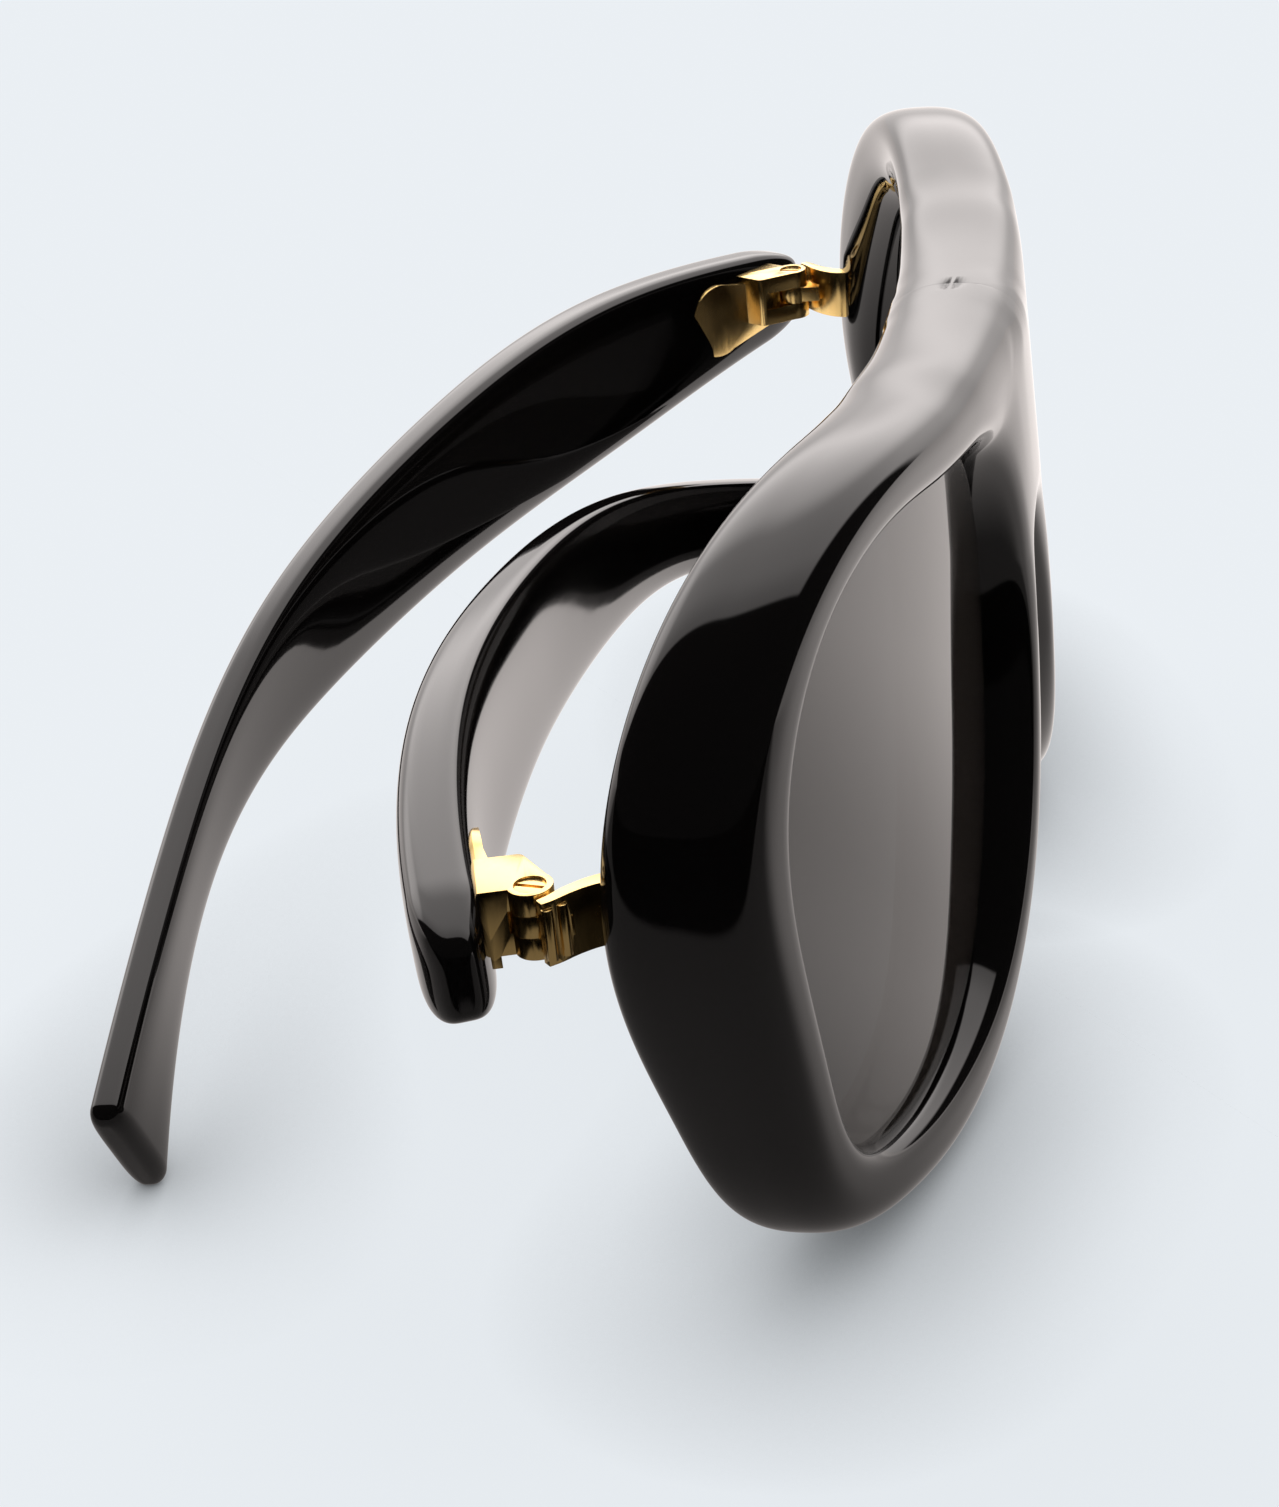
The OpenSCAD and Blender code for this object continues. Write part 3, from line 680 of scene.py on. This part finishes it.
class GLASSES_OT_lenses(bpy.types.Operator):
    """Builds both curved lenses, seated in the rims"""

    bl_idname = "glasses.lenses"
    bl_label = "Lenses"

    stations = 240
    rings = 24
    # Share of the radius of the innermost ring, and the share from which the
    # edge is bevelled to a share of the thickness.
    innermost = 0.02
    bevel_from, bevel_left = 0.985, 0.85

    def execute(self, context):
        front, lens, _, _ = settings()
        form = FrontForm(front)
        u = np.arange(self.stations) / self.stations
        reach = front.opening * closed_spline(OPENING, u) + lens.seat
        share = np.sin(np.linspace(self.innermost, 1, self.rings) * np.pi / 2)
        radius = share[:, None] * reach[None]
        a = 2 * np.pi * u
        x = front.lens_x + radius * np.cos(a)
        z = radius * np.sin(a)
        y = x**2 / (2 * front.wrap) + lens.back
        bevel = np.where(share > self.bevel_from, self.bevel_left, 1.0)[:, None] * lens.thickness / 2
        faces = [np.stack([x, y - bevel, z], -1), np.stack([x, y + bevel, z], -1)[::-1]]
        rows = np.concatenate(faces)
        quads = grid_quads(2 * self.rings, self.stations, True, True)
        for side, sign in SIDES.items():
            points = form.leaned(rows * [sign, 1, 1]).reshape(-1, 3)
            mesh = mesh_from(f"lens_{side}", points, self.filled(quads))
            piece_from(f"smoke_lens_{side}", mesh, finish_of("lens"), "front", f"lens_{side}")
        return {"FINISHED"}

    def filled(self, quads):
        """The grid closes at its last row on the small middle ring; that wall is
        left out and each middle ring is filled by opposite pairs of its points."""
        n = self.stations
        walls = quads[: (2 * self.rings - 1) * n]
        k = np.arange(n // 2 - 1)
        cap = np.stack([k, k + 1, n - 2 - k, n - 1 - k], -1)
        back = cap + (2 * self.rings - 1) * n
        return np.concatenate([walls, cap, back])


class GLASSES_OT_temples(bpy.types.Operator):
    """Builds both bowed temples, folded as they are stored"""

    bl_idname = "glasses.temples"
    bl_label = "Temples"

    stations = 320
    sides = 72

    def execute(self, context):
        for side in SIDES:
            points = placed(temple_rings(self.stations, self.sides), side)
            quads = grid_quads(len(points), self.sides, False, True)
            flat = points.reshape(-1, 3)
            n = self.sides
            k = np.arange(n // 2 - 1)
            cap = np.stack([k, k + 1, n - 2 - k, n - 1 - k], -1)
            quads = np.concatenate([quads, cap, cap + (len(points) - 1) * n])
            mesh = mesh_from(f"temple_{side}", flat, quads)
            node = f"temple_{side}"
            piece_from(f"acetate_temple_{side}", mesh, finish_of("acetate"), node, node)
        return {"FINISHED"}


def temple_rings(stations, sides):
    """Rings of a temple that points straight back from its pin at the origin.
    The inner face's middle line turns by the bow and drop angles as it goes;
    each ring is a superellipse as thick and high as the tables say, and both
    ends shrink on a circle."""
    t = bpy.context.scene.glasses_temple
    steps, end_rings = 400, 26
    u = np.linspace(0, 1, steps + 1)
    bow, drop, twist = (np.radians(open_spline(v, u)) for v in (BOW, DROP, TWIST))
    ahead = np.stack([-np.sin(bow) * np.cos(drop), np.cos(bow) * np.cos(drop), np.sin(drop)], -1)
    middle = np.array([t.out, -t.ahead, -t.fall]) + np.concatenate(
        [np.zeros((1, 3)), np.cumsum((ahead[1:] + ahead[:-1]) / 2 * t.along / steps, 0)]
    )
    level = np.stack([np.cos(bow), np.sin(bow), np.zeros_like(bow)], -1)
    upright = np.cross(level, ahead)
    out = level * np.cos(twist)[:, None] - upright * np.sin(twist)[:, None]
    up = upright * np.cos(twist)[:, None] + level * np.sin(twist)[:, None]
    ends = 1 - np.cos(np.linspace(0, 1, end_rings) * np.pi / 2)
    at = np.unique(
        np.concatenate(
            [
                ends * t.end_round,
                np.linspace(t.end_round, t.along - t.tip_round, stations),
                t.along - ends * t.tip_round,
            ]
        )
    )

    def read(table):
        """A table of points or directions, read where the rings stand."""
        return np.stack([np.interp(at / t.along, u, column) for column in table.T], -1)

    def left_by(distance, reach):
        """Share of the section left at a distance from an end: a quarter circle."""
        f = 1 - np.clip(distance / reach, 0, 1)
        return 1 - (1 - t.blunt) * (1 - np.sqrt(1 - f**2))

    size = left_by(at, t.end_round) * left_by(t.along - at, t.tip_round)
    high = t.height * open_spline(HEIGHT, at / t.along) / 2
    thick = t.thickness * open_spline(THICKNESS, at / t.along) / 2
    outward, upward = read(out), read(up)
    centre = read(middle) + outward * thick[:, None]
    a = 2 * np.pi * (np.arange(sides) + 0.5) / sides
    across = (thick * size)[:, None] * power(np.cos(a), t.power)[None]
    along = (high - (1 - size) * thick)[:, None] * power(np.sin(a), t.power)[None]
    return centre[:, None] + across[..., None] * outward[:, None] + along[..., None] * upward[:, None]


def placed(points, side):
    """Moves what is built about a hinge pin to its place: folded about the pin,
    set out to its side and leaned back with the front."""
    front, _, temple, hinge = settings()
    fold = {"right": temple.fold_right, "left": temple.fold_left}[side]
    p = turned(points, np.zeros(3), [0, 0, 1], fold - temple.splay) + [hinge.x, hinge.y, hinge.z]
    return FrontForm(front).leaned(p * [SIDES[side], 1, 1])


def unplaced(points, side):
    """Undoes placed: brings a piece back to where it is built about its pin."""
    front, _, temple, hinge = settings()
    fold = {"right": temple.fold_right, "left": temple.fold_left}[side]
    a = math.radians(front.lean)
    x, y, z = points.T
    p = np.stack([x * SIDES[side], y * math.cos(a) - z * math.sin(a), y * math.sin(a) + z * math.cos(a)], -1)
    p += [0, 0, front.bridge_low]
    return turned(p - [hinge.x, hinge.y, hinge.z], np.zeros(3), [0, 0, 1], temple.splay - fold)


class GLASSES_OT_hinges(bpy.types.Operator):
    """Builds the gold hinge leaves and screws with softly broken edges"""

    bl_idname = "glasses.hinges"
    bl_label = "Hinges"

    # Where the temple leaf's plate starts behind the pin, how much the temple's
    # inner face leans out along it, and how deep and over what length it sinks.
    plate_from, face_lean = 0.0043, 0.085
    sunk, sunk_over = 0.0003, 0.0012
    # Distance under which doubles merge, and the angles in degrees under which
    # faces join and over which an edge is broken.
    doubles, flat_angle, sharp_angle = 2e-6, 1, 28

    def execute(self, context):
        hinge = context.scene.glasses_hinge
        for side in SIDES:
            for node, body in (
                (f"frame_leaf_{side}", "front"),
                (f"temple_leaf_{side}", f"temple_{side}"),
                (f"hinge_screw_{side}", f"temple_{side}"),
            ):
                self.metal(node, body, hinge.edge, side)
        return {"FINISHED"}

    def laid_flush(self, mesh, side):
        """Lays the temple leaf's plate along the temple's inner face: behind the
        block each point moves out by the face's lean and, on an easing, by the
        plate's depth in the face."""
        flat = np.empty(len(mesh.vertices) * 3)
        mesh.vertices.foreach_get("co", flat)
        local = unplaced(flat.reshape(-1, 3), side)
        behind = np.clip(local[:, 1] - self.plate_from, 0, None)
        local[:, 0] += behind * self.face_lean + self.sunk * eased(behind / self.sunk_over)
        mesh.vertices.foreach_set("co", placed(local, side).astype(np.float32).ravel())
        mesh.update()

    def metal(self, node, body, edge, side):
        """A copy of a CAD node, merged and cleaned, whose edges get a bevel."""
        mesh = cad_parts[node].data.copy()
        mesh.name = f"gold_{node}"
        bm = bmesh.new()
        bm.from_mesh(mesh)
        bmesh.ops.remove_doubles(bm, verts=bm.verts, dist=self.doubles)
        limit = math.radians(self.flat_angle)
        bmesh.ops.dissolve_limit(bm, angle_limit=limit, verts=bm.verts, edges=bm.edges)
        bm.to_mesh(mesh)
        bm.free()
        if node.startswith("temple_leaf"):
            self.laid_flush(mesh, side)
        mesh.polygons.foreach_set("use_smooth", np.full(len(mesh.polygons), True))
        piece = piece_from(f"gold_{node}", mesh, finish_of("gold"), body, node)
        bevel = piece.modifiers.new("broken edges", "BEVEL")
        bevel.width = edge
        bevel.segments = 2
        bevel.limit_method = "ANGLE"
        bevel.angle_limit = math.radians(self.sharp_angle)
        bevel.harden_normals = True
        bevel.miter_outer = "MITER_ARC"


class GLASSES_OT_small_parts(bpy.types.Operator):
    """Finishes the nose pads and the sealed core wires"""

    bl_idname = "glasses.small_parts"
    bl_label = "Pads and wires"

    def execute(self, context):
        for side in SIDES:
            for node, kind in ((f"nose_pad_{side}", "acetate"), (f"core_wire_{side}", "wire")):
                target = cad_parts[node].data
                target.materials.clear()
                target.materials.append(finish_of(kind))
                target.polygons.foreach_set("use_smooth", np.full(len(target.polygons), True))
        return {"FINISHED"}


class GLASSES_OT_stage(bpy.types.Operator):
    """Sets the pale studio: floor, soft lights, world and camera"""

    bl_idname = "glasses.stage"
    bl_label = "Studio"

    half_floor = 6.0
    # Painted contact shadow: distance within which ambient occlusion dims the floor's glow near a piece, how
    # fast that painted shade fades, and its samples.
    contact_reach, contact_fade, contact_samples = 0.02, 1.5, 16
    # Shares of the floor's look: lit by the studio, its least glow inside the painted contact shadow, and the
    # glow added in the open.
    lit_share, least_glow, open_glow = 0.14, 0.08, 0.78
    # The painted reflection that polished pieces mirror in the floor: from and
    # to which x its glow brightens, by how much, and its colour.
    painted_reflection_steps = ((-0.125, -0.115, 0.2), (-0.06, -0.01, 0.62), (0.0, 0.06, 0.5))
    painted_reflection_colour = (1.0, 0.93, 0.9)
    # The soft box: how far it tilts, its edges by direction, and what it keeps of
    # its strength at the edge.
    tilt, edge_at, fade_at, edge_share = 0.35, (0.27, 0.31), (0.28, 0.6), 0.65
    front_at, upper_at = (-0.66, -0.58), (-0.1, 0.4)
    lamp_way, lamp_at, lamp_up = (0.896, 0.24, 0.375), (0.82, 0.95), (0.08, 0.28)
    window_way, window_at = (0.45, 0.84, 0.29), (0.93, 0.98)
    # Strengths of lamp, window, upper part and the whole box, and of the dark side.
    lamp_level, window_level, upper_level, box_level, dark_level = 1.3, 1.3, 0.8, 1.2, 0.03
    box_colour, wall_colour = (1.0, 0.945, 0.925), (0.83, 0.88, 0.92)
    # The camera: degrees round and down, lens and sensor in mm, aim and distance.
    azimuth, elevation = 79.665, 27.974
    focal, sensor = 81.95, 36.0
    aim, distance = (0, 0.027386, -0.024784), 0.25592
    clip = (0.01, 30.0)

    def execute(self, context):
        self.floor(context)
        self.world(context)
        self.camera(context)
        context.scene.view_settings.view_transform = "Standard"
        return {"FINISHED"}

    def floor(self, context):
        """A wide flat pale floor just under the feet. What the camera sees of it
        is mostly its own pale colour, with the shadows that the studio casts and a
        painted contact shadow, where ambient occlusion dims the glow near pieces;
        polished pieces mirror a painted reflection on it, a glow that darkens in
        steps towards the camera's side and ends there."""
        z = CAD_BOX[0][2]
        half = self.half_floor
        points = [[-half, -half, z], [half, -half, z], [half, half, z], [-half, half, z]]
        mesh = mesh_from("studio_floor", np.array(points), [[0, 1, 2, 3]], smooth=False)
        if mesh.polygons[0].normal.z < 0:
            mesh.flip_normals()
        material = bpy.data.materials.new("pale_studio_floor")
        sh = Shader(material)
        pale = tuple(context.scene.glasses_finishes.floor)
        place = sh.node("ShaderNodeTexCoord", output="Object")
        x = sh.node("ShaderNodeSeparateXYZ", {}, {0: place}, output="X")
        samples, reach = {"samples": self.contact_samples}, {"Distance": self.contact_reach}
        contact = sh.node("ShaderNodeAmbientOcclusion", samples, reach, output="AO")
        seen = sh.node("ShaderNodeLightPath", output="Is Camera Ray")
        through = sh.node("ShaderNodeLightPath", output="Is Transmission Ray")
        mirrored = sh.node("ShaderNodeLightPath", output="Is Glossy Ray")
        # Painted reflection: glossy rays see the floor as a glow that brightens in steps along x, darkest on
        # the camera's side.
        low, middle, high = (sh.ramp(x, start, end) * level for start, end, level in self.painted_reflection_steps)
        painted_reflection_strength = low + middle + high
        board = sh.node("ShaderNodeBsdfDiffuse", {}, {"Color": pale})
        painted_reflection_glow = sh.node("ShaderNodeEmission", {}, {"Color": self.painted_reflection_colour, "Strength": painted_reflection_strength})
        shade = sh.node("ShaderNodeBsdfDiffuse", {}, {"Color": tuple(c * self.lit_share for c in pale)})
        # Painted contact shadow: the floor's glow falls towards its least where ambient occlusion finds
        # pieces close by.
        strength = self.least_glow + self.open_glow * contact**self.contact_fade
        glow = sh.node("ShaderNodeEmission", {}, {"Color": pale, "Strength": strength})
        plain = sh.node("ShaderNodeAddShader", {}, {0: shade, 1: glow})
        # Glossy rays meet the painted reflection; other rays that are not camera or transmission rays meet
        # the plain diffuse floor.
        lit = sh.node("ShaderNodeMixShader", {}, {0: mirrored, 1: board, 2: painted_reflection_glow})
        sh.node_output(sh.node("ShaderNodeMixShader", {}, {0: (seen + through).clamped(), 1: lit, 2: plain}))
        mesh.materials.append(material)
        floor = bpy.data.objects.new("studio_floor", mesh)
        context.scene.collection.objects.link(floor)

    def world(self, context):
        """The studio round the glasses: a tall curved soft box stands on the
        wearer's left, from behind to the front, and the right side is black
        cloth. Its brightness depends on the direction x, y, z alone: the box
        starts where x + tilt z passes edge_at, grows to full strength by the end
        of fade_at, and ends in front where y falls below front_at. A lamp and a
        window stand round their own directions, and the box is brighter high up.
        A camera ray meets a pale wall instead."""
        world = bpy.data.worlds.new("studio")
        context.scene.world = world
        sh = Shader(world)
        way = sh.node("ShaderNodeTexCoord", output="Generated")
        x, y, z = (sh.node("ShaderNodeSeparateXYZ", {}, {0: way}, output=axis) for axis in "XYZ")

        def towards(direction):
            """How near the way lies to a direction: their scalar product."""
            return x * direction[0] + y * direction[1] + z * direction[2]

        reach = x + z * self.tilt
        full = sh.ramp(reach, *self.fade_at) * (1 - self.edge_share) + self.edge_share
        box = sh.ramp(reach, *self.edge_at) * full * sh.ramp(y, *self.front_at)
        lamp = sh.ramp(towards(self.lamp_way), *self.lamp_at) * sh.ramp(z, *self.lamp_up)
        window = sh.ramp(towards(self.window_way), *self.window_at)
        bright = lamp * self.lamp_level + window * self.window_level
        upper = sh.ramp(z, *self.upper_at) * self.upper_level
        level = box * (bright + upper + self.box_level) + self.dark_level
        studio = sh.node("ShaderNodeBackground", {}, {"Color": self.box_colour, "Strength": level})
        wall = sh.node("ShaderNodeBackground", {}, {"Color": self.wall_colour, "Strength": 1.0})
        seen = sh.node("ShaderNodeLightPath", output="Is Camera Ray")
        through = sh.node("ShaderNodeLightPath", output="Is Transmission Ray")
        both = sh.node("ShaderNodeMixShader", {}, {0: (seen + through).clamped(), 1: studio, 2: wall})
        out = sh.tree.nodes.new("ShaderNodeOutputWorld")
        sh.tree.links.new(both.socket, out.inputs["Surface"])

    def camera(self, context):
        """The photograph's view: aimed at a point between rims and temples."""
        round_by, down_by = math.radians(self.azimuth), math.radians(self.elevation)
        level = math.cos(down_by)
        ahead = Vector((math.sin(round_by) * level, math.cos(round_by) * level, -math.sin(down_by)))
        data = bpy.data.cameras.new("camera")
        data.sensor_fit = "HORIZONTAL"
        data.sensor_width = self.sensor
        data.lens = self.focal
        data.clip_start, data.clip_end = self.clip
        camera = bpy.data.objects.new("camera", data)
        camera.location = Vector(self.aim) - ahead * self.distance
        camera.rotation_euler = ahead.to_track_quat("-Z", "Y").to_euler()
        context.scene.collection.objects.link(camera)
        context.scene.camera = camera


OPERATORS = (
    GLASSES_OT_front,
    GLASSES_OT_lenses,
    GLASSES_OT_temples,
    GLASSES_OT_hinges,
    GLASSES_OT_small_parts,
    GLASSES_OT_stage,
)


class GLASSES_PT_panel(bpy.types.Panel):
    """Lists the sizes, the finishes and a button for each group of pieces"""

    bl_label = "Sunglasses"
    bl_idname = "GLASSES_PT_panel"
    bl_space_type = "VIEW_3D"
    bl_region_type = "UI"
    bl_category = "Sunglasses"

    def draw(self, context):
        layout = self.layout
        for key in GROUPS:
            box = layout.box()
            box.label(text=key.split("_")[1].title())
            group = getattr(context.scene, key)
            for name in group.__annotations__:
                box.prop(group, name)
        for operator in OPERATORS:
            layout.operator(operator.bl_idname)


GROUPS = {
    "glasses_front": FrontSizes,
    "glasses_lens": LensSizes,
    "glasses_temple": TempleSizes,
    "glasses_hinge": HingeSizes,
    "glasses_finishes": Finishes,
}


def register():
    for group in (*GROUPS.values(), *OPERATORS, GLASSES_PT_panel):
        bpy.utils.register_class(group)
    for key, group in GROUPS.items():
        setattr(bpy.types.Scene, key, bpy.props.PointerProperty(type=group))


def unregister():
    for key in GROUPS:
        delattr(bpy.types.Scene, key)
    for group in (GLASSES_PT_panel, *OPERATORS, *GROUPS.values()):
        bpy.utils.unregister_class(group)


def main():
    register()
    bpy.ops.glasses.front()
    bpy.ops.glasses.lenses()
    bpy.ops.glasses.temples()
    bpy.ops.glasses.hinges()
    bpy.ops.glasses.small_parts()
    bpy.ops.glasses.stage()


if __name__ == "__main__":
    main()
